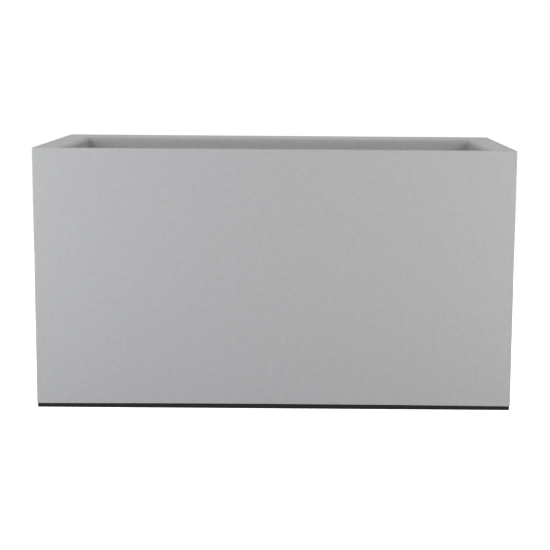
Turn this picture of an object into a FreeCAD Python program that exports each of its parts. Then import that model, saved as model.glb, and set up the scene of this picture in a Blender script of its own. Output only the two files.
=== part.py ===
import FreeCAD, Part
import math
import os
import re
import Sketcher

# Planter trough, in millimetres. Z is up, the long side runs along X and the front faces -Y.
# The origin is in the middle of the underside.

SIZES = (
    # Outside of the trough
    ("trough_length", 800),
    ("trough_width", 400),
    ("trough_height", 438),
    ("outer_corner_radius", 3),
    ("outer_wall", 3.5),
    ("top_edge_radius", 1.5),

    # Rim, which falls towards the basin
    ("rim_width", 39),
    ("rim_land", 3),
    ("rim_fall", 3.3),
    ("rim_skin", 3.5),
    ("lip_radius", 9),
    ("lip_backing", 4),

    # Basin
    ("basin_wall", 3),
    ("basin_taper", 5),
    ("basin_corner_radius", 4),
    ("floor_level", 40),
    ("floor_thickness", 3.5),
    ("floor_radius", 3),

    # Wall cavity and the screw bosses on the outer wall
    ("cavity_corner_radius", 1.5),
    ("long_boss_pitch", 160),
    ("long_boss_count", 5),
    ("end_boss_pitch", 210),
    ("end_boss_count", 2),
    ("boss_inset", 10.5),
    ("boss_diameter", 15),
    ("boss_height", 40),
    ("pilot_depth", 26),

    # Base plate, whose edge shows below the shell, and the bow of the shell's lower edge over it
    ("base_height", 7),
    ("edge_bow", 1.3),
    ("edge_bow_inset", 20),
    ("base_inset", 1),
    ("base_corner_radius", 2.5),
    ("base_plate_thickness", 3),
    ("base_edge", 4),
    ("base_rib", 3),
    ("base_rib_pitch", 70),
    ("base_rib_count", 4),
    ("locator_height", 14),
    ("locator_wall", 2.5),
    ("locator_clearance", 0.5),
    ("outlet_width", 40),
    ("outlet_height", 2.5),

    # Screws
    ("screw_diameter", 4),
    ("screw_head_diameter", 9),
    ("screw_head_height", 2.4),
    ("screw_length", 24),
    ("screw_clearance", 0.4),
    ("thread_clearance", 0.05),
    ("screw_crown", 0.8),

    # Drain, its plug and seal
    ("drain_diameter", 30),
    ("drain_wall", 8),
    ("drain_level", 13),
    ("drain_bite", 1),
    ("plug_clearance", 0.2),
    ("plug_flange_diameter", 48),
    ("plug_flange_thickness", 4),
    ("plug_reach", 20),
    ("plug_wall", 2.5),
    ("plug_nose", 1.5),
    ("grip_length", 40),
    ("grip_thickness", 8),
    ("grip_height", 4.5),
    ("grip_round", 2),
    ("grip_clearance", 5),
    ("seal_width", 5),
    ("seal_thickness", 3),
    ("seal_fit", 0.05),

    # Slotted deck over the water space
    ("deck_level", 95),
    ("deck_thickness", 3),
    ("deck_clearance", 1),
    ("deck_joint", 1),
    ("deck_skirt", 2.5),
    ("deck_rib_depth", 8),
    ("slot_width", 5),
    ("slot_gap", 16),
    ("slot_side_gap", 9),
    ("slot_columns", 5),
    ("slot_rows", 3),
    ("notch_width", 30),
    ("notch_corner_radius", 4),

    # Legs under the deck
    ("leg_inset", 22),
    ("leg_blade", 3),
    ("leg_width", 19),
    ("leg_foot_diameter", 24),
    ("leg_foot_height", 3),
    ("socket_wall", 2),
    ("socket_clearance", 0.3),

    # Wick cups hung in the deck
    ("cup_width", 64),
    ("cup_foot_width", 46),
    ("cup_flange_width", 78),
    ("cup_corner_radius", 4),
    ("cup_wall", 2),
    ("cup_clearance", 0.6),
    ("cup_floor_gap", 2),
    ("cup_window_width", 6),
    ("cup_window_foot", 8),
    ("cup_window_height", 28),
    ("cup_drain_diameter", 8),

    # Overrun of a cut past the face it starts from
    ("overrun", 1),
)

# Lengths and levels worked out from the sizes above
CAVITY_LENGTH = "(trough_length - 2 * outer_wall)"
CAVITY_WIDTH = "(trough_width - 2 * outer_wall)"
CAVITY_TOP = "(trough_height - rim_fall - rim_skin)"
LIP_LEVEL = "(trough_height - rim_fall)"
LIP_WALL = "(basin_wall + lip_backing)"
NECK_LEVEL = f"({CAVITY_TOP} - lip_backing)"
OPENING_LENGTH = "(trough_length - 2 * rim_width)"
OPENING_WIDTH = "(trough_width - 2 * rim_width)"
FLOOR_LENGTH = f"({OPENING_LENGTH} - 2 * basin_taper)"
FLOOR_WIDTH = f"({OPENING_WIDTH} - 2 * basin_taper)"
FLOOR_UNDERSIDE = "(floor_level - floor_thickness)"
LONG_BOSS_LINE = "(trough_width / 2 - boss_inset)"
END_BOSS_LINE = "(trough_length / 2 - boss_inset)"
PILOT_DIAMETER = "(screw_diameter + 2 * thread_clearance)"
BASE_LENGTH = "(trough_length - 2 * base_inset)"
BASE_WIDTH = "(trough_width - 2 * base_inset)"
BASE_RECESS = "(base_height - base_plate_thickness)"
BOW_LENGTH = "(trough_length - 2 * edge_bow_inset)"
BOW_RADIUS = f"({BOW_LENGTH} * {BOW_LENGTH} / (8 * edge_bow) + edge_bow / 2)"
LOCATOR_LENGTH = f"({CAVITY_LENGTH} - 2 * locator_clearance)"
LOCATOR_WIDTH = f"({CAVITY_WIDTH} - 2 * locator_clearance)"
PLUG_DIAMETER = "(drain_diameter - 2 * plug_clearance)"
PLUG_SHOULDER = "(drain_level - seal_thickness - seal_fit)"
PLUG_FLANGE_FOOT = f"({PLUG_SHOULDER} - plug_flange_thickness)"
BASE_DRAIN_DIAMETER = "(plug_flange_diameter + 2 * grip_clearance)"
DECK_LENGTH = f"({FLOOR_LENGTH} - 2 * deck_clearance)"
DECK_WIDTH = f"({FLOOR_WIDTH} - 2 * deck_clearance)"
DECK_TOP = "(deck_level + deck_thickness)"
HALF_DECK = f"({DECK_LENGTH} / 2 - deck_joint / 2)"
DECK_MIDDLE = f"({DECK_LENGTH} / 4 + deck_joint / 4)"
DECK_RIB_FOOT = "(deck_level - deck_rib_depth)"
DECK_RIB_HEIGHT = "(deck_rib_depth + deck_thickness / 2)"
LEG_INNER = "(deck_joint / 2 + leg_inset)"
LEG_OUTER = f"({DECK_LENGTH} / 2 - leg_inset)"
LEG_SIDE = f"({DECK_WIDTH} / 2 - leg_inset)"
SOCKET_BORE = "(leg_width + 2 * socket_clearance)"
SOCKET_OUTSIDE = f"({SOCKET_BORE} + 2 * socket_wall)"
SLOT_LENGTH = f"(({DECK_WIDTH} - (slot_rows + 1) * slot_gap) / slot_rows)"
SLOT_ROW_PITCH = f"({SLOT_LENGTH} + slot_gap)"
SLOT_START = "(cup_flange_width / 2 + slot_side_gap + slot_width / 2)"
SLOT_END = f"(({LEG_OUTER} - {LEG_INNER} - {SOCKET_OUTSIDE}) / 2 - slot_side_gap - slot_width / 2)"
SLOT_PITCH = f"(({SLOT_END} - {SLOT_START}) / (slot_columns - 1))"
CUP_LINE = f"({LEG_SIDE} / 2)"
CUP_HOLE = "(cup_width + 2 * cup_clearance)"
CUP_FOOT = "(floor_level + cup_floor_gap)"
CUP_FLOOR = f"({CUP_FOOT} + cup_wall)"

ORIGIN = "0"
PAIR = "2"
THREE = "3"
SIDES = 4
FULL_TURN = 360
HALF_TURN = 180
SAME_PLACE = 0.001

doc = FreeCAD.newDocument("planter_trough")
sheet = doc.addObject("Spreadsheet::Sheet", "Sizes")
for row, (alias, size) in enumerate(SIZES, 1):
    sheet.set(f"A{row}", alias)
    sheet.set(f"B{row}", str(size))
    sheet.setAlias(f"B{row}", alias)
doc.recompute()

ALIASES = {alias for alias, size in SIZES}


def bound(expression):
    """An expression in size names, as the document reads it."""
    return re.sub(r"[a-z_]+", lambda name: f"Sizes.{name[0]}" if name[0] in ALIASES else name[0], expression)


def value(expression):
    """What an expression in size names comes to now."""
    return float(sheet.evalExpression(bound(expression)))


def make_body(name):
    body = doc.addObject("PartDesign::Body", name)
    body.Label = name
    return body


def make_sketch(body, name, x=ORIGIN, y=ORIGIN, z=ORIGIN, plane="XY_Plane"):
    """An empty sketch on one of the body's own planes, moved along that plane's axes."""
    sketch = body.newObject("Sketcher::SketchObject", f"{body.Name}_{name}")
    support = next(item for item in body.Origin.OriginFeatures if item.Role == plane)
    sketch.AttachmentSupport = [(support, "")]
    sketch.MapMode = "FlatFace"
    sketch.setExpression("AttachmentOffset.Base.x", bound(x))
    sketch.setExpression("AttachmentOffset.Base.y", bound(y))
    sketch.setExpression("AttachmentOffset.Base.z", bound(z))
    return sketch


def add_dimension(sketch, kind, places, expression):
    """A dimension of the sketch, bound to the sheet."""
    index = sketch.addConstraint(Sketcher.Constraint(kind, *places, value(expression)))
    sketch.setExpression(f"Constraints[{index}]", bound(expression))


def draw_rectangle(sketch, length, width, x=ORIGIN, y=ORIGIN):
    """A rectangle with its middle at x and y from the sketch's origin."""
    left = f"{x} - ({length}) / 2"
    low = f"{y} - ({width}) / 2"
    xs = (value(left), value(f"{x} + ({length}) / 2"))
    ys = (value(low), value(f"{y} + ({width}) / 2"))
    corners = [FreeCAD.Vector(xs[side], ys[end]) for side, end in ((0, 0), (1, 0), (1, 1), (0, 1))]
    first = sketch.GeometryCount
    for start, end in zip(corners, corners[1:] + corners[:1]):
        sketch.addGeometry(Part.LineSegment(start, end), False)
    for edge, direction in enumerate(("Horizontal", "Vertical", "Horizontal", "Vertical")):
        sketch.addConstraint(Sketcher.Constraint("Coincident", first + edge, 2, first + (edge + 1) % 4, 1))
        sketch.addConstraint(Sketcher.Constraint(direction, first + edge))
    add_dimension(sketch, "DistanceX", (first, 1, first, 2), length)
    add_dimension(sketch, "DistanceY", (first + 1, 1, first + 1, 2), width)
    add_dimension(sketch, "DistanceX", (-1, 1, first, 1), left)
    add_dimension(sketch, "DistanceY", (-1, 1, first, 1), low)


def draw_rounded_rectangle(sketch, length, width, radius):
    """A rectangle with round corners about the sketch's origin."""
    x = value(length) / 2
    y = value(width) / 2
    r = value(radius)
    sides = (
        (FreeCAD.Vector(r - x, -y), FreeCAD.Vector(x - r, -y)),
        (FreeCAD.Vector(x, r - y), FreeCAD.Vector(x, y - r)),
        (FreeCAD.Vector(x - r, y), FreeCAD.Vector(r - x, y)),
        (FreeCAD.Vector(-x, y - r), FreeCAD.Vector(-x, r - y)),
    )
    centres = ((x - r, r - y), (x - r, y - r), (r - x, y - r), (r - x, r - y))
    for start, end in sides:
        sketch.addGeometry(Part.LineSegment(start, end), False)
    for quarter, centre in enumerate(centres, -1):
        circle = Part.Circle(FreeCAD.Vector(*centre), FreeCAD.Vector(0, 0, 1), r)
        start = quarter * math.pi / 2
        sketch.addGeometry(Part.ArcOfCircle(circle, start, start + math.pi / 2), False)
    for side in range(4):
        arc = side + 4
        sketch.addConstraint(Sketcher.Constraint("Tangent", side, 2, arc, 1))
        sketch.addConstraint(Sketcher.Constraint("Tangent", arc, 2, (side + 1) % 4, 1))
    for arc in range(5, 8):
        sketch.addConstraint(Sketcher.Constraint("Equal", arc - 1, arc))
    sketch.addConstraint(Sketcher.Constraint("Horizontal", 2))
    sketch.addConstraint(Sketcher.Constraint("Vertical", 3))
    sketch.addConstraint(Sketcher.Constraint("Symmetric", 0, 1, 0, 2, -2))
    sketch.addConstraint(Sketcher.Constraint("Symmetric", 1, 1, 1, 2, -1))
    add_dimension(sketch, "Radius", (4,), radius)
    add_dimension(sketch, "DistanceX", (3, 1, 1, 1), length)
    add_dimension(sketch, "DistanceY", (0, 1, 2, 1), width)


def draw_bow(sketch):
    """The sliver between the base plate's straight top and the long arc of the shell's lower edge."""
    reach = value(BOW_LENGTH) / 2
    level = value("base_height")
    left = FreeCAD.Vector(-reach, level)
    right = FreeCAD.Vector(reach, level)
    middle = FreeCAD.Vector(0, value("base_height + edge_bow"))
    sketch.addGeometry(Part.LineSegment(left, right), False)
    sketch.addGeometry(Part.Arc(right, middle, left), False)
    sketch.addConstraint(Sketcher.Constraint("Coincident", 0, 2, 1, 1))
    sketch.addConstraint(Sketcher.Constraint("Coincident", 0, 1, 1, 2))
    sketch.addConstraint(Sketcher.Constraint("Horizontal", 0))
    add_dimension(sketch, "DistanceX", (0, 1, 0, 2), BOW_LENGTH)
    add_dimension(sketch, "DistanceX", (-1, 1, 0, 2), f"{BOW_LENGTH} / 2")
    add_dimension(sketch, "DistanceY", (-1, 1, 0, 2), "base_height")
    add_dimension(sketch, "Radius", (1,), BOW_RADIUS)


def draw_circle(sketch, diameter):
    circle = Part.Circle(FreeCAD.Vector(), FreeCAD.Vector(0, 0, 1), value(diameter) / 2)
    index = sketch.addGeometry(circle, False)
    sketch.addConstraint(Sketcher.Constraint("Coincident", index, 3, -1, 1))
    add_dimension(sketch, "Diameter", (index,), diameter)


def draw_circles(sketch, diameter, places):
    """Equal circles, each at a pair of expressions from the sketch's origin."""
    for x, y in places:
        centre = FreeCAD.Vector(value(x), value(y))
        circle = Part.Circle(centre, FreeCAD.Vector(0, 0, 1), value(diameter) / 2)
        index = sketch.addGeometry(circle, False)
        add_dimension(sketch, "Diameter", (index,), diameter)
        add_dimension(sketch, "DistanceX", (-1, 1, index, 3), x)
        add_dimension(sketch, "DistanceY", (-1, 1, index, 3), y)


def draw_profile(sketch, points):
    """A closed outline through points given as pairs of expressions from the sketch's origin."""
    places = [FreeCAD.Vector(value(x), value(y)) for x, y in points]
    for start, end in zip(places, places[1:] + places[:1]):
        sketch.addGeometry(Part.LineSegment(start, end), False)
    count = len(points)
    for edge, (x, y) in enumerate(points):
        sketch.addConstraint(Sketcher.Constraint("Coincident", (edge - 1) % count, 2, edge, 1))
        add_dimension(sketch, "DistanceX", (-1, 1, edge, 1), x)
        add_dimension(sketch, "DistanceY", (-1, 1, edge, 1), y)


def finish_feature(body, feature):
    body.Tip = feature
    doc.recompute()
    return feature


def pad(body, name, sketch, length, down=False):
    feature = body.newObject("PartDesign::Pad", f"{body.Name}_{name}")
    feature.Profile = sketch
    feature.setExpression("Length", bound(length))
    feature.Reversed = down
    return finish_feature(body, feature)


def pocket(body, name, sketch, depth, up=False):
    """A cut along Z, which has to take something away."""
    before = body.Shape.Volume
    feature = body.newObject("PartDesign::Pocket", f"{body.Name}_{name}")
    feature.Profile = sketch
    feature.setExpression("Length", bound(depth))
    feature.Reversed = up
    finish_feature(body, feature)
    if body.Shape.Volume >= before:
        raise RuntimeError(f"{feature.Name} cuts nothing")
    return feature


def loft(body, name, sections, cuts=False):
    kind = "SubtractiveLoft" if cuts else "AdditiveLoft"
    feature = body.newObject(f"PartDesign::{kind}", f"{body.Name}_{name}")
    feature.Profile = sections[0]
    feature.Sections = sections[1:]
    feature.Ruled = True
    return finish_feature(body, feature)


def revolve(body, name, sketch):
    feature = body.newObject("PartDesign::Revolution", f"{body.Name}_{name}")
    feature.Profile = sketch
    feature.ReferenceAxis = (sketch, ["V_Axis"])
    return finish_feature(body, feature)


def repeat(body, name, original, sketch, axis, pitch, count):
    """Copies of a feature at one pitch along an axis of its sketch."""
    feature = body.newObject("PartDesign::LinearPattern", f"{body.Name}_{name}")
    feature.Originals = [original]
    feature.Direction = (sketch, [axis])
    feature.Mode = "Spacing"
    feature.setExpression("Offset", bound(pitch))
    feature.setExpression("Occurrences", bound(count))
    return finish_feature(body, feature)


def first_place(pitch, count):
    """Where the first of a centred row of copies lies."""
    return f"(-({count} - 1) * {pitch} / 2)"


def ring_edges(shape, level, length="0", width="0"):
    """The names of the flat edges at a level that reach out to a length or a width."""
    height = value(level)
    reach_x = value(length) / 2 - SAME_PLACE
    reach_y = value(width) / 2 - SAME_PLACE
    names = []
    for index, edge in enumerate(shape.Edges, 1):
        box = edge.BoundBox
        flat = max(abs(box.ZMin - height), abs(box.ZMax - height)) < SAME_PLACE
        far_x = max(abs(box.XMin), abs(box.XMax)) >= reach_x
        far_y = max(abs(box.YMin), abs(box.YMax)) >= reach_y
        if flat and (far_x or far_y):
            names.append(f"Edge{index}")
    return names


def fillet(body, name, edges, radius):
    base = body.Tip
    feature = body.newObject("PartDesign::Fillet", f"{body.Name}_{name}")
    feature.Base = (base, edges)
    feature.setExpression("Radius", bound(radius))
    return finish_feature(body, feature)


def rounded_section(body, name, length, width, radius, z):
    sketch = make_sketch(body, name, z=z)
    draw_rounded_rectangle(sketch, length, width, radius)
    return sketch


def make_shell():
    """The double-walled moulding: outer walls, falling rim, basin, screw bosses and drain."""
    body = make_body("shell")
    block = rounded_section(
        body, "outline", "trough_length", "trough_width", "outer_corner_radius", "base_height"
    )
    pad(body, "block", block, "trough_height - base_height")
    basin = [
        rounded_section(body, name, length, width, radius, level)
        for name, length, width, radius, level in (
            (
                "land",
                "trough_length - 2 * rim_land",
                "trough_width - 2 * rim_land",
                "outer_corner_radius",
                "trough_height",
            ),
            ("opening", OPENING_LENGTH, OPENING_WIDTH, "basin_corner_radius", LIP_LEVEL),
            ("floor", FLOOR_LENGTH, FLOOR_WIDTH, "basin_corner_radius", "floor_level"),
        )
    ]
    loft(body, "basin", basin, cuts=True)
    fillet(body, "lip", ring_edges(body.Shape, LIP_LEVEL), "lip_radius")
    fillet(body, "floor_round", ring_edges(body.Shape, "floor_level"), "floor_radius")
    fillet(
        body,
        "top_edge",
        ring_edges(body.Shape, "trough_height", "trough_length", "trough_width"),
        "top_edge_radius",
    )
    hollow = body.newObject("PartDesign::Boolean", "shell_hollow")
    hollow.Type = "Cut"
    hollow.setObjects([make_cavity_core()])
    finish_feature(body, hollow)
    bow = make_sketch(body, "bow_outline", z="-trough_width / 2 - overrun", plane="XZ_Plane")
    draw_bow(bow)
    pocket(body, "lower_edge", bow, "trough_width + 2 * overrun", up=True)
    add_screw_bosses(body)
    drain_boss = make_sketch(body, "drain_boss_outline", z="drain_level")
    draw_circle(drain_boss, "drain_diameter + 2 * drain_wall")
    pad(body, "drain_boss", drain_boss, f"{FLOOR_UNDERSIDE} + drain_bite - drain_level")
    bore = make_sketch(body, "drain", z="drain_level - overrun")
    draw_circle(bore, "drain_diameter")
    pocket(body, "drain_bore", bore, "floor_level - drain_level + 2 * overrun", up=True)
    return body


def make_cavity_core():
    """The space inside the double wall: a block less the skin, thicker at the lip, round the basin."""
    body = make_body("cavity_core")
    block = rounded_section(
        body, "outline", CAVITY_LENGTH, CAVITY_WIDTH, "cavity_corner_radius", "base_height"
    )
    pad(body, "block", block, f"{CAVITY_TOP} - base_height")
    skin = [
        rounded_section(
            body,
            name,
            f"{length} + 2 * {wall}",
            f"{width} + 2 * {wall}",
            f"basin_corner_radius + {wall}",
            level,
        )
        for name, length, width, wall, level in (
            ("skin_top", OPENING_LENGTH, OPENING_WIDTH, LIP_WALL, LIP_LEVEL),
            ("skin_neck", OPENING_LENGTH, OPENING_WIDTH, "basin_wall", NECK_LEVEL),
            ("skin_foot", FLOOR_LENGTH, FLOOR_WIDTH, "basin_wall", FLOOR_UNDERSIDE),
        )
    ]
    loft(body, "skin", skin, cuts=True)
    return body


def grid_places(x, y, columns, rows):
    """The places of a grid, from its first place and a pitch and count each way."""
    return [
        (f"{x} + {column} * {columns[0]}", f"{y} + {row} * {rows[0]}")
        for column in range(round(value(columns[1])))
        for row in range(round(value(rows[1])))
    ]


def screw_places():
    """The screws: a row along each long side, and a pair at each end."""
    sides = grid_places(
        first_place("long_boss_pitch", "long_boss_count"),
        f"-{LONG_BOSS_LINE}",
        ("long_boss_pitch", "long_boss_count"),
        (f"2 * {LONG_BOSS_LINE}", PAIR),
    )
    ends = grid_places(
        f"-{END_BOSS_LINE}",
        first_place("end_boss_pitch", "end_boss_count"),
        (f"2 * {END_BOSS_LINE}", PAIR),
        ("end_boss_pitch", "end_boss_count"),
    )
    return sides + ends


def add_screw_bosses(body):
    """Bosses on the outer wall, each with a pilot hole from below."""
    bosses = make_sketch(body, "boss_plan", z="base_height")
    draw_circles(bosses, "boss_diameter", screw_places())
    pad(body, "bosses", bosses, "boss_height")
    cut_screw_holes(body, "base_height", PILOT_DIAMETER, "pilot_depth")


def cut_screw_holes(body, level, diameter, depth):
    holes = make_sketch(body, "hole_plan", z=level)
    draw_circles(holes, diameter, screw_places())
    pocket(body, "screw_holes", holes, depth, up=True)


def make_base_plate():
    """The black moulding that closes the underside, with its locating wall and the ribs under the basin."""
    body = make_body("base_plate")
    outline = rounded_section(body, "outline", BASE_LENGTH, BASE_WIDTH, "base_corner_radius", ORIGIN)
    pad(body, "block", outline, "base_height")
    bow = make_sketch(body, "bow_outline", z=f"-{BASE_WIDTH} / 2", plane="XZ_Plane")
    draw_bow(bow)
    pad(body, "crown", bow, BASE_WIDTH)
    recess = rounded_section(
        body,
        "recess_outline",
        f"{BASE_LENGTH} - 2 * base_edge",
        f"{BASE_WIDTH} - 2 * base_edge",
        "base_corner_radius",
        ORIGIN,
    )
    pocket(body, "recess", recess, BASE_RECESS, up=True)
    locator = rounded_section(
        body, "locator_outline", LOCATOR_LENGTH, LOCATOR_WIDTH, "base_corner_radius", "base_height"
    )
    pad(body, "locator", locator, "locator_height")
    inside = rounded_section(
        body,
        "locator_inside",
        f"{LOCATOR_LENGTH} - 2 * locator_wall",
        f"{LOCATOR_WIDTH} - 2 * locator_wall",
        "base_corner_radius",
        "base_height",
    )
    pocket(body, "locator_hollow", inside, "locator_height + overrun", up=True)
    boss_room = make_sketch(body, "boss_room_plan", z="base_height")
    draw_circles(boss_room, "boss_diameter + 2 * locator_clearance", screw_places())
    pocket(body, "boss_room", boss_room, "locator_height + overrun", up=True)
    rib = make_sketch(body, "rib", y=first_place("base_rib_pitch", "base_rib_count"))
    draw_rectangle(rib, FLOOR_LENGTH, "base_rib")
    first = pad(body, "ribs", rib, FLOOR_UNDERSIDE)
    repeat(body, "rib_row", first, rib, "V_Axis", "base_rib_pitch", "base_rib_count")
    drain = make_sketch(body, "drain", z="-overrun")
    draw_circle(drain, BASE_DRAIN_DIAMETER)
    pocket(body, "drain_hole", drain, "base_height + 2 * overrun", up=True)
    outlet = make_sketch(body, "outlet", x=f"-({BASE_LENGTH} - base_edge) / 2")
    draw_rectangle(outlet, "base_edge + 2 * overrun", "outlet_width")
    first = pocket(body, "outlets", outlet, "outlet_height", up=True)
    repeat(body, "outlet_pair", first, outlet, "H_Axis", f"{BASE_LENGTH} - base_edge", PAIR)
    clearance_hole = "screw_diameter + 2 * screw_clearance"
    cut_screw_holes(body, BASE_RECESS, clearance_hole, "base_plate_thickness + overrun")
    return body


def make_screw():
    """One screw, point up, with its head's bearing face at its origin."""
    body = make_body("base_screw")
    profile = make_sketch(body, "profile", plane="XZ_Plane")
    draw_profile(
        profile,
        (
            (ORIGIN, "-screw_head_height"),
            ("screw_head_diameter / 2 - screw_crown", "-screw_head_height"),
            ("screw_head_diameter / 2", "screw_crown - screw_head_height"),
            ("screw_head_diameter / 2", ORIGIN),
            ("screw_diameter / 2", ORIGIN),
            ("screw_diameter / 2", "screw_length - screw_diameter"),
            (ORIGIN, "screw_length"),
        ),
    )
    revolve(body, "turned", profile)
    return body


def place_copies(label, master, places, level=ORIGIN):
    """One sub-part made of copies of a master piece, each at a place in plan and at one level."""
    copies = []
    for number, (x, y) in enumerate(places, 1):
        copy = doc.addObject("App::Link", f"{label}_{number}")
        copy.LinkedObject = master
        copy.setExpression("Placement.Base.x", bound(x))
        copy.setExpression("Placement.Base.y", bound(y))
        copy.setExpression("Placement.Base.z", bound(level))
        copies.append(copy)
    group = doc.addObject("Part::Compound", label)
    group.Label = label
    group.Links = copies
    doc.recompute()
    return group


def make_drain_plug():
    """The stopper: a hollow shank, a flange that carries the seal, and a bar to pull it by."""
    body = make_body("drain_plug")
    profile = make_sketch(body, "profile", plane="XZ_Plane")
    shank = f"{PLUG_DIAMETER} / 2"
    top = f"{PLUG_SHOULDER} + plug_reach"
    draw_profile(
        profile,
        (
            (ORIGIN, PLUG_FLANGE_FOOT),
            ("plug_flange_diameter / 2", PLUG_FLANGE_FOOT),
            ("plug_flange_diameter / 2", PLUG_SHOULDER),
            (shank, PLUG_SHOULDER),
            (shank, f"{top} - plug_nose"),
            (f"{shank} - plug_nose", top),
            (f"{shank} - plug_wall", top),
            (f"{shank} - plug_wall", PLUG_SHOULDER),
            (ORIGIN, PLUG_SHOULDER),
        ),
    )
    revolve(body, "turned", profile)
    grip = rounded_section(
        body, "grip_outline", "grip_length", "grip_thickness", "grip_round", PLUG_FLANGE_FOOT
    )
    pad(body, "grip", grip, "grip_height", down=True)
    return body


def make_plug_seal():
    """The flat ring between the plug's flange and the drain."""
    body = make_body("plug_seal")
    outline = make_sketch(body, "outline", z=PLUG_SHOULDER)
    inside = f"({PLUG_DIAMETER} + 2 * seal_fit)"
    draw_circle(outline, f"{inside} + 2 * seal_width")
    draw_circle(outline, inside)
    pad(body, "ring", outline, "seal_thickness")
    return body


def leg_places():
    """The legs under one half of the deck, in three rows of three."""
    along = (f"({LEG_OUTER} - {LEG_INNER}) / 2", THREE)
    return grid_places(LEG_INNER, f"-{LEG_SIDE}", along, (LEG_SIDE, THREE))


def make_deck_half():
    """The slotted false floor of the +X half, with a skirt, ribs, leg sockets and cup holes."""
    body = make_body("deck_half")
    whole = rounded_section(body, "outline", DECK_LENGTH, DECK_WIDTH, "basin_corner_radius", DECK_RIB_FOOT)
    pad(body, "plate", whole, "deck_rib_depth + deck_thickness")
    other_half = make_sketch(
        body, "other_half", x=f"deck_joint / 4 - {DECK_LENGTH} / 4 - overrun / 2", z=DECK_RIB_FOOT
    )
    draw_rectangle(
        other_half, f"{DECK_LENGTH} / 2 + deck_joint / 2 + overrun", f"{DECK_WIDTH} + 2 * overrun"
    )
    pocket(body, "halving", other_half, "deck_rib_depth + deck_thickness + overrun", up=True)
    hollow = make_sketch(body, "hollow_outline", x=DECK_MIDDLE, z=DECK_RIB_FOOT)
    draw_rounded_rectangle(
        hollow, f"{HALF_DECK} - 2 * deck_skirt", f"{DECK_WIDTH} - 2 * deck_skirt", "basin_corner_radius"
    )
    pocket(body, "hollow", hollow, "deck_rib_depth", up=True)
    rib = make_sketch(body, "rib", x=DECK_MIDDLE, y=f"-{SLOT_ROW_PITCH} / 2", z=DECK_RIB_FOOT)
    draw_rectangle(rib, f"{HALF_DECK} - deck_skirt", "deck_skirt")
    first = pad(body, "ribs", rib, DECK_RIB_HEIGHT)
    repeat(body, "rib_pair", first, rib, "V_Axis", SLOT_ROW_PITCH, PAIR)
    sockets = make_sketch(body, "socket_plan", z=DECK_RIB_FOOT)
    draw_circles(sockets, SOCKET_OUTSIDE, leg_places())
    pad(body, "sockets", sockets, DECK_RIB_HEIGHT)
    bores = make_sketch(body, "bore_plan", z=DECK_RIB_FOOT)
    draw_circles(bores, SOCKET_BORE, leg_places())
    pocket(body, "socket_bores", bores, "deck_rib_depth", up=True)
    cut_deck_openings(body)
    return body


def cut_deck_openings(body):
    """The cup holes, finger notches and drainage slots of one half of the deck."""
    through = "deck_rib_depth + deck_thickness + 2 * overrun"
    foot = f"{DECK_RIB_FOOT} - overrun"
    hole = make_sketch(body, "cup_plan", x=DECK_MIDDLE, y=f"-{CUP_LINE}", z=foot)
    draw_rounded_rectangle(hole, CUP_HOLE, CUP_HOLE, "cup_corner_radius + cup_clearance")
    first = pocket(body, "cup_hole", hole, through, up=True)
    repeat(body, "cup_hole_pair", first, hole, "V_Axis", f"2 * {CUP_LINE}", PAIR)
    notch = make_sketch(body, "notch_plan", y=f"-{CUP_LINE}", z=foot)
    draw_rounded_rectangle(notch, "notch_width", "notch_width", "notch_corner_radius")
    first = pocket(body, "notch", notch, through, up=True)
    repeat(body, "notch_pair", first, notch, "V_Axis", f"2 * {CUP_LINE}", PAIR)
    rows = [
        f"{first_place(SLOT_ROW_PITCH, 'slot_rows')} + {row} * {SLOT_ROW_PITCH}"
        for row in range(round(value("slot_rows")))
    ]
    for name, start in (("inner", f"-{SLOT_END}"), ("outer", SLOT_START)):
        slots = make_sketch(
            body, f"{name}_slot_plan", x=f"{DECK_MIDDLE} + {start}", z="deck_level - overrun"
        )
        for row in rows:
            draw_rectangle(slots, "slot_width", SLOT_LENGTH, y=row)
        first = pocket(body, f"{name}_slots", slots, "deck_thickness + 2 * overrun", up=True)
        repeat(body, f"{name}_slot_columns", first, slots, "H_Axis", SLOT_PITCH, "slot_columns")


def make_leg():
    """One leg: a round foot and two crossed blades, standing on its origin."""
    body = make_body("deck_leg")
    foot = make_sketch(body, "foot_outline")
    draw_circle(foot, "leg_foot_diameter")
    pad(body, "foot", foot, "leg_foot_height")
    for name, length, width in (
        ("first", "leg_width", "leg_blade"),
        ("second", "leg_blade", "leg_width"),
    ):
        blade = make_sketch(body, f"{name}_outline")
        draw_rectangle(blade, length, width)
        pad(body, f"{name}_blade", blade, "deck_level - floor_level")
    return body


def cup_places():
    """The two cups of the +X half of the deck."""
    return ((DECK_MIDDLE, f"-{CUP_LINE}"), (DECK_MIDDLE, CUP_LINE))


def cup_section(body, name, width, radius, level):
    return rounded_section(body, name, width, width, radius, level)


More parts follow.
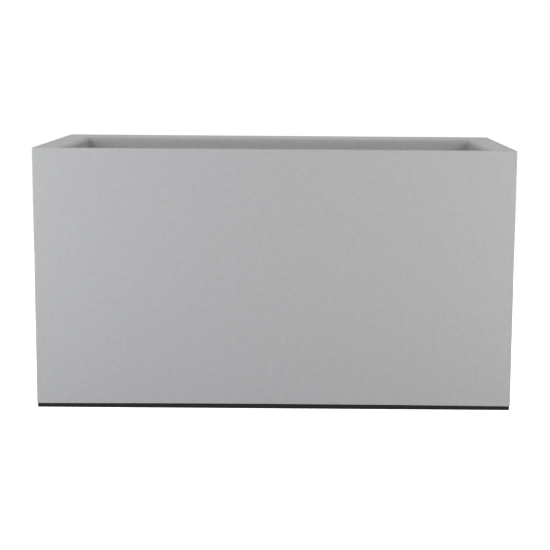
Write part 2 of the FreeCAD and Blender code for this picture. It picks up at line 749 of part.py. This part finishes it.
def make_wick_cup():
    """A square tapered cup that hangs in the deck by its flange, with a window in each of its four sides."""
    body = make_body("wick_cup")
    outside = [
        cup_section(body, "foot", "cup_foot_width", "cup_corner_radius", CUP_FOOT),
        cup_section(body, "neck", "cup_width", "cup_corner_radius", DECK_TOP),
    ]
    loft(body, "outside", outside)
    flange = cup_section(body, "flange_outline", "cup_flange_width", "cup_corner_radius", DECK_TOP)
    pad(body, "flange", flange, "cup_wall")
    inner_radius = "cup_corner_radius - cup_wall"
    inside = [
        cup_section(body, "inner_foot", "cup_foot_width - 2 * cup_wall", inner_radius, CUP_FLOOR),
        cup_section(body, "mouth", "cup_width - 2 * cup_wall", inner_radius, f"{DECK_TOP} + cup_wall"),
    ]
    loft(body, "inside", inside, cuts=True)
    drain = make_sketch(body, "drain", z=f"{CUP_FOOT} - overrun")
    draw_circle(drain, "cup_drain_diameter")
    pocket(body, "drain_hole", drain, "cup_wall + 2 * overrun", up=True)
    middle = f"{CUP_FOOT} + cup_window_foot + cup_window_height / 2"
    window = make_sketch(body, "window", y=middle, plane="XZ_Plane")
    draw_rectangle(window, "cup_window_width", "cup_window_height")
    first = pocket(body, "front_window", window, "cup_width / 2 + overrun")
    ring = body.newObject("PartDesign::PolarPattern", f"{body.Name}_window_ring")
    ring.Originals = [first]
    ring.Axis = (drain, ["N_Axis"])
    ring.Angle = FULL_TURN
    ring.Occurrences = SIDES
    finish_feature(body, ring)
    return body


def make_parts():
    """Every sub-part of the trough. The left half of the deck is the right half turned about Z."""
    screws = place_copies("base_screws", make_screw(), screw_places(), BASE_RECESS)
    parts = [make_shell(), make_base_plate(), screws, make_drain_plug(), make_plug_seal()]
    deck = make_deck_half()
    leg = make_leg()
    cup = make_wick_cup()
    turn = FreeCAD.Placement(FreeCAD.Vector(), FreeCAD.Rotation(FreeCAD.Vector(0, 0, 1), HALF_TURN))
    for side in ("left", "right"):
        pieces = [
            place_copies(f"deck_{side}", deck, ((ORIGIN, ORIGIN),)),
            place_copies(f"deck_legs_{side}", leg, leg_places(), "floor_level"),
        ]
        pieces += [
            place_copies(f"wick_cup_{side}_{number}", cup, (place,))
            for number, place in enumerate(cup_places(), 1)
        ]
        if side == "left":
            for piece in pieces:
                piece.Placement = turn
        parts += pieces
    doc.recompute()
    return parts


def check_document(parts):
    """Stop if any object failed or any sub-part has no sound shape."""
    for item in doc.Objects:
        if "Invalid" in item.State or "Error" in item.State:
            raise RuntimeError(f"{item.Name} failed: {item.State}")
    for part in parts:
        if part.Shape.isNull() or not part.Shape.isValid():
            raise RuntimeError(f"{part.Label} has no sound shape")


parts = make_parts()
check_document(parts)
os.makedirs("parts", exist_ok=True)
for part in parts:
    part.Shape.exportStep(os.path.join("parts", f"{part.Label}.step"))
    print(part.Label, len(part.Shape.Solids), "solids", round(part.Shape.Volume), "cubic mm")
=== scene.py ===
"""Looks of the planter trough: its materials, and a studio with floor, lamps and camera."""

import math

import bpy
from mathutils import Matrix, Vector

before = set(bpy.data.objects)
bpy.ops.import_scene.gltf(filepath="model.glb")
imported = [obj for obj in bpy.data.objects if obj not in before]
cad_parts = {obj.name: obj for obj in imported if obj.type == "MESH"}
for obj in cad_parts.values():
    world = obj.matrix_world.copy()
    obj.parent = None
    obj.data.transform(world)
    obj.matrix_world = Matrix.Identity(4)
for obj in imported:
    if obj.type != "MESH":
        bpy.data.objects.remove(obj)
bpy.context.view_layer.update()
scene = bpy.context.scene

# Camera, solved from the outline's corners in the photograph
IMAGE_WIDTH = 550
FOCAL_PIXELS = 1429.4
AXIS_PIXEL = 304.0
SENSOR_WIDTH = 36.0
CLIP_START, CLIP_END = 0.05, 100.0
CAMERA_PLACE = (0.050, -2.556, 0.590)
CAMERA_PITCH = math.radians(8.71)
CAMERA_ROLL = math.radians(0.42)

# Studio. Each lamp has its place, target, width, height, watts and colour.
AMBIENT = 0.15
FLOOR_GLOW = 0.90
FLOOR_SHADE = 0.8
FLOOR_REACH = 30.0
WHITE = (1.0, 1.0, 1.0)
WARM = (1.0, 0.975, 0.93)
LAMPS = (
    ("left_lamp", (-1.0, -0.8, 0.5), (-0.3, -0.2, 0.3), 0.5, 0.5, 3.6, WHITE),
    ("right_lamp", (1.0, -0.8, 0.5), (0.3, -0.2, 0.3), 0.5, 0.5, 3.3, WARM),
    ("front_left_lamp", (-1.4, -1.6, 1.2), (-0.2, -0.2, 0.3), 0.8, 0.8, 15.7, WHITE),
    ("front_right_lamp", (1.4, -1.6, 1.2), (0.2, -0.2, 0.3), 0.8, 0.8, 13.0, WHITE),
    ("high_back_lamp", (0.0, 1.2, 2.0), (0.0, 0.0, 0.4), 1.6, 0.8, 20.2, WARM),
    ("back_lamp", (0.0, 1.8, 0.22), (0.0, 0.2, 0.22), 1.6, 0.3, 8.5, WHITE),
)

# Colours, as screen values from 0 to 255
STONE_GREY = (171, 172, 174)
BASE_BLACK = (22, 22, 24)
PLUG_BLACK = (44, 44, 47)
INNER_BLACK = (62, 62, 65)
SEAL_BLACK = (34, 34, 35)
ZINC_BLUE = (196, 198, 203)
ZINC_YELLOW = (205, 201, 190)

# Noise seldom leaves this range
NOISE_LOW, NOISE_HIGH = 0.3, 0.7

# Roughness from lowest to highest, and the share of mirror reflection
STONE_ROUGHNESS = (0.66, 0.78)
SEAL_ROUGHNESS = (0.5, 0.62)
ZINC_ROUGHNESS = (0.26, 0.42)
STONE_SPECULAR = 0.35
MOULD_SPECULAR = 0.18

# Textures, in noise cells per metre
STONE_GRAIN = 420.0
STONE_FINE = 1500.0
STONE_MOTTLE = 110.0
MOULD_CLOUD = 16.0
BASE_TEXTURE = 900.0
PLUG_TEXTURE = 1300.0
INNER_TEXTURE = 800.0
SEAL_TEXTURE = 1800.0
ZINC_MARKS = 900.0
ZINC_CLOUD = 120.0

# Turning marks are six times as fine along a screw as across it
MARKS_SCALING = (1.0, 1.0, 6.0)

# Heights of the textures' bumps, in metres
STONE_GRAIN_DEPTH = 0.00012
STONE_FINE_DEPTH = 0.00004
MOULD_DEPTH = 0.00004
PLUG_DEPTH = 0.00002
SEAL_DEPTH = 0.00002
ZINC_DEPTH = 0.00001


def linear(red, green, blue):
    """The shader's colour for screen values from 0 to 255, by the sRGB curve."""
    shares = [value / 255 for value in (red, green, blue)]
    levels = [s / 12.92 if s <= 0.04045 else ((s + 0.055) / 1.055) ** 2.4 for s in shares]
    return (*levels, 1.0)


def new_material(name):
    material = bpy.data.materials.new(name)
    material.use_nodes = True
    nodes = material.node_tree.nodes
    return material, nodes, material.node_tree.links, nodes["Principled BSDF"]


def position(nodes):
    return nodes.new("ShaderNodeTexCoord").outputs["Object"]


def noise(nodes, links, place, scale, detail=2.0, roughness=0.5):
    node = nodes.new("ShaderNodeTexNoise")
    node.inputs["Scale"].default_value = scale
    node.inputs["Detail"].default_value = detail
    node.inputs["Roughness"].default_value = roughness
    links.new(place, node.inputs["Vector"])
    return node.outputs["Fac"]


def stretched(nodes, links, place, scaling):
    node = nodes.new("ShaderNodeVectorMath")
    node.operation = "MULTIPLY"
    node.inputs[1].default_value = scaling
    links.new(place, node.inputs[0])
    return node.outputs["Vector"]


def remap(nodes, links, value, out_low, out_high, low=NOISE_LOW, high=NOISE_HIGH):
    """The value moved from the range of low to high to that of out_low to out_high."""
    node = nodes.new("ShaderNodeMapRange")
    node.clamp = True
    ends = {"From Min": low, "From Max": high, "To Min": out_low, "To Max": out_high}
    for socket, number in ends.items():
        node.inputs[socket].default_value = number
    links.new(value, node.inputs["Value"])
    return node.outputs["Result"]


def math_node(nodes, links, operation, first, second):
    node = nodes.new("ShaderNodeMath")
    node.operation = operation
    for socket, value in zip(node.inputs, (first, second)):
        if isinstance(value, (int, float)):
            socket.default_value = value
        else:
            links.new(value, socket)
    return node.outputs["Value"]


def colour_sockets(node):
    """The colour inputs A and B and the colour result of a Mix node."""
    first, second = [s for s in node.inputs if s.type == "RGBA"]
    result = [s for s in node.outputs if s.type == "RGBA"][0]
    return first, second, result


def mix_rgb(nodes, links, share, first, second, blend="MIX"):
    node = nodes.new("ShaderNodeMix")
    node.data_type = "RGBA"
    node.blend_type = blend
    a, b, result = colour_sockets(node)
    for socket, value in ((node.inputs[0], share), (a, first), (b, second)):
        if isinstance(value, (int, float, tuple)):
            socket.default_value = value
        else:
            links.new(value, socket)
    return result


def varied(nodes, links, colour, value, swing, low=NOISE_LOW, high=NOISE_HIGH):
    """The colour made darker to lighter by the swing as value runs from low to high."""
    share = remap(nodes, links, value, 0.0, 1.0, low, high)
    dark = (1 - swing,) * 3 + (1.0,)
    light = (1 + swing,) * 3 + (1.0,)
    factor = mix_rgb(nodes, links, share, dark, light)
    return mix_rgb(nodes, links, 1.0, colour, factor, "MULTIPLY")


def bump(nodes, links, height, distance, strength, under=None):
    node = nodes.new("ShaderNodeBump")
    node.inputs["Strength"].default_value = strength
    node.inputs["Distance"].default_value = distance
    links.new(height, node.inputs["Height"])
    if under is not None:
        links.new(under, node.inputs["Normal"])
    return node.outputs["Normal"]


def stone_effect():
    """Pale grey rotationally moulded plastic with the fine grain of cast stone."""
    material, nodes, links, shader = new_material("stone_effect")
    place = position(nodes)
    grain = noise(nodes, links, place, STONE_GRAIN, detail=3.0, roughness=0.6)
    fine = noise(nodes, links, place, STONE_FINE, detail=1.0)
    mottle = noise(nodes, links, place, STONE_MOTTLE)
    grey = linear(*STONE_GREY)
    colour = varied(nodes, links, grey, grain, swing=0.065, low=0.32, high=0.68)
    colour = varied(nodes, links, colour, fine, swing=0.03)
    colour = varied(nodes, links, colour, mottle, swing=0.03)
    links.new(colour, shader.inputs["Base Color"])
    roughness = remap(nodes, links, grain, *STONE_ROUGHNESS)
    links.new(roughness, shader.inputs["Roughness"])
    normal = bump(nodes, links, grain, STONE_GRAIN_DEPTH, strength=0.5)
    normal = bump(nodes, links, fine, STONE_FINE_DEPTH, strength=0.5, under=normal)
    links.new(normal, shader.inputs["Normal"])
    shader.inputs["Specular IOR Level"].default_value = STONE_SPECULAR
    return material


def moulded_black(name, colour, roughness, scale, depth):
    """Dark injection-moulded plastic with an even spark-eroded texture."""
    material, nodes, links, shader = new_material(name)
    place = position(nodes)
    texture = noise(nodes, links, place, scale)
    cloud = noise(nodes, links, place, MOULD_CLOUD, detail=4.0)
    tone = varied(nodes, links, linear(*colour), texture, swing=0.12)
    tone = varied(nodes, links, tone, cloud, swing=0.07)
    links.new(tone, shader.inputs["Base Color"])
    gloss = remap(nodes, links, cloud, out_low=roughness - 0.06, out_high=roughness + 0.08)
    links.new(gloss, shader.inputs["Roughness"])
    links.new(bump(nodes, links, texture, depth, strength=0.6), shader.inputs["Normal"])
    shader.inputs["Specular IOR Level"].default_value = MOULD_SPECULAR
    return material


def seal_rubber():
    """Dull black rubber."""
    material, nodes, links, shader = new_material("seal_rubber")
    place = position(nodes)
    texture = noise(nodes, links, place, SEAL_TEXTURE)
    colour = varied(nodes, links, linear(*SEAL_BLACK), texture, swing=0.15)
    links.new(colour, shader.inputs["Base Color"])
    roughness = remap(nodes, links, texture, *SEAL_ROUGHNESS)
    links.new(roughness, shader.inputs["Roughness"])
    links.new(bump(nodes, links, texture, SEAL_DEPTH, strength=0.5), shader.inputs["Normal"])
    return material


def zinc_steel():
    """Bright zinc-plated screw steel with turning marks."""
    material, nodes, links, shader = new_material("zinc_steel")
    place = position(nodes)
    marks = noise(nodes, links, stretched(nodes, links, place, MARKS_SCALING), ZINC_MARKS)
    cloud = noise(nodes, links, place, ZINC_CLOUD, detail=3.0)
    share = remap(nodes, links, cloud, 0.0, 1.0, low=0.35, high=0.65)
    colour = mix_rgb(nodes, links, share, linear(*ZINC_BLUE), linear(*ZINC_YELLOW))
    links.new(colour, shader.inputs["Base Color"])
    roughness = remap(nodes, links, marks, *ZINC_ROUGHNESS)
    links.new(roughness, shader.inputs["Roughness"])
    links.new(bump(nodes, links, marks, ZINC_DEPTH, strength=0.4), shader.inputs["Normal"])
    shader.inputs["Metallic"].default_value = 1.0
    return material


def assign(material, *names):
    for name in names:
        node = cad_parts[name]
        for slot in node.material_slots:
            slot.material = material
        if not node.material_slots:
            node.data.materials.append(material)


def add_floor():
    """A pale floor that the camera and reflections see as white, with the object's shadow."""
    mesh = bpy.data.meshes.new("floor")
    near, far = -FLOOR_REACH, FLOOR_REACH
    corners = [(near, near, 0.0), (far, near, 0.0), (far, far, 0.0), (near, far, 0.0)]
    mesh.from_pydata(corners, [], [range(len(corners))])
    floor = bpy.data.objects.new("floor", mesh)
    scene.collection.objects.link(floor)
    material = bpy.data.materials.new("studio_floor")
    material.use_nodes = True
    nodes, links = material.node_tree.nodes, material.node_tree.links
    nodes.clear()
    diffuse = nodes.new("ShaderNodeBsdfDiffuse")
    diffuse.inputs["Color"].default_value = (FLOOR_SHADE,) * 3 + (1.0,)
    glow = nodes.new("ShaderNodeEmission")
    rays = nodes.new("ShaderNodeLightPath").outputs
    seen = math_node(nodes, links, "MAXIMUM", rays["Is Camera Ray"], rays["Is Glossy Ray"])
    links.new(math_node(nodes, links, "MULTIPLY", seen, FLOOR_GLOW), glow.inputs["Strength"])
    total = nodes.new("ShaderNodeAddShader")
    links.new(diffuse.outputs["BSDF"], total.inputs[0])
    links.new(glow.outputs["Emission"], total.inputs[1])
    output = nodes.new("ShaderNodeOutputMaterial")
    links.new(total.outputs["Shader"], output.inputs["Surface"])
    mesh.materials.append(material)


def set_world():
    """A white background for the camera, reflections and glass, and a soft ambient light."""
    world = bpy.data.worlds.new("studio")
    world.use_nodes = True
    nodes, links = world.node_tree.nodes, world.node_tree.links
    rays = nodes.new("ShaderNodeLightPath").outputs
    seen = math_node(nodes, links, "MAXIMUM", rays["Is Camera Ray"], rays["Is Transmission Ray"])
    seen = math_node(nodes, links, "MAXIMUM", seen, rays["Is Glossy Ray"])
    strength = remap(nodes, links, seen, AMBIENT, 1.0, low=0.0, high=1.0)
    background = nodes["Background"]
    background.inputs["Color"].default_value = WHITE + (1.0,)
    links.new(strength, background.inputs["Strength"])
    scene.world = world


def add_area_light(name, place, target, width, height, watts, colour):
    data = bpy.data.lights.new(name, "AREA")
    data.shape = "RECTANGLE"
    data.size, data.size_y = width, height
    data.energy = watts
    data.color = colour
    light = bpy.data.objects.new(name, data)
    light.location = place
    light.rotation_mode = "QUATERNION"
    light.rotation_quaternion = (Vector(target) - Vector(place)).to_track_quat("-Z", "Y")
    scene.collection.objects.link(light)


def add_camera():
    forward = Vector((0.0, math.cos(CAMERA_PITCH), -math.sin(CAMERA_PITCH)))
    level_right = Vector((1.0, 0.0, 0.0))
    level_up = level_right.cross(forward)
    right = math.cos(CAMERA_ROLL) * level_right + math.sin(CAMERA_ROLL) * level_up
    up = math.cos(CAMERA_ROLL) * level_up - math.sin(CAMERA_ROLL) * level_right
    data = bpy.data.cameras.new("camera")
    data.sensor_width = SENSOR_WIDTH
    data.lens = FOCAL_PIXELS * SENSOR_WIDTH / IMAGE_WIDTH
    data.shift_x = (IMAGE_WIDTH / 2 - AXIS_PIXEL) / IMAGE_WIDTH
    data.clip_start, data.clip_end = CLIP_START, CLIP_END
    camera = bpy.data.objects.new("camera", data)
    turn = Matrix((right, up, -forward)).transposed().to_4x4()
    camera.matrix_world = Matrix.Translation(CAMERA_PLACE) @ turn
    scene.collection.objects.link(camera)
    scene.camera = camera


add_camera()
add_floor()
set_world()
for lamp in LAMPS:
    add_area_light(*lamp)

base = moulded_black(
    "base_black", BASE_BLACK, roughness=0.62, scale=BASE_TEXTURE, depth=MOULD_DEPTH
)
plug = moulded_black(
    "plug_black", PLUG_BLACK, roughness=0.48, scale=PLUG_TEXTURE, depth=PLUG_DEPTH
)
inner = moulded_black(
    "inner_black", INNER_BLACK, roughness=0.56, scale=INNER_TEXTURE, depth=MOULD_DEPTH
)
assign(stone_effect(), "shell")
assign(base, "base_plate")
assign(plug, "drain_plug")
assign(inner, "deck_left", "deck_right", "deck_legs_left", "deck_legs_right")
assign(inner, "wick_cup_left_1", "wick_cup_left_2", "wick_cup_right_1", "wick_cup_right_2")
assign(zinc_steel(), "base_screws")
assign(seal_rubber(), "plug_seal")

scene.view_settings.view_transform = "Standard"
